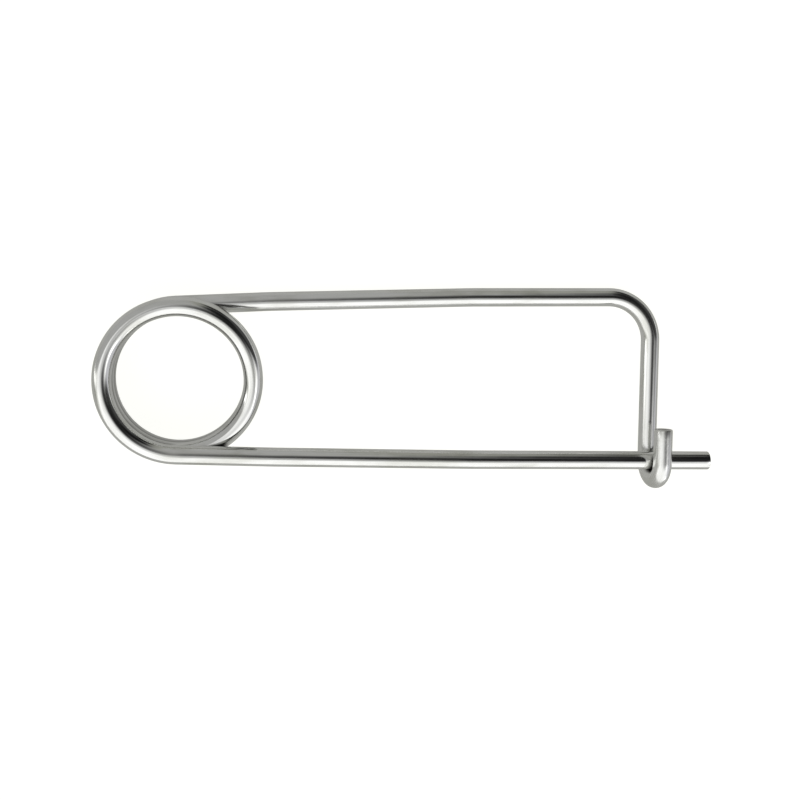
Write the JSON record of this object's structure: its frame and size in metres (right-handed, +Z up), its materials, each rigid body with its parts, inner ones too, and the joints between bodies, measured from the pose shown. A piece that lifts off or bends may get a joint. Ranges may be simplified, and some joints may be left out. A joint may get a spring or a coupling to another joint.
{
  "type": "coil tension safety pin",
  "caption": "Safety pin bent from one round spring wire: a coil, a keeper arm and a straight shank whose end is held in a hook, closed.",
  "frame": {"origin": "point on the coil's axis in the plane that the pin lies on", "axes": "+X from the coil to the shank's tip, +Y from the shank to the keeper arm, +Z up along the coil's axis; the pin lies flat on z = 0"},
  "size_m": [0.1053, 0.0348, 0.0097],
  "materials": {
    "spring_wire": "bright drawn spring wire, smooth and mirror-like with faint lines along it, cut ends plain"
  },
  "bodies": {
    "root": {"pin_wire": "spring_wire"}
  },
  "joints": []
}
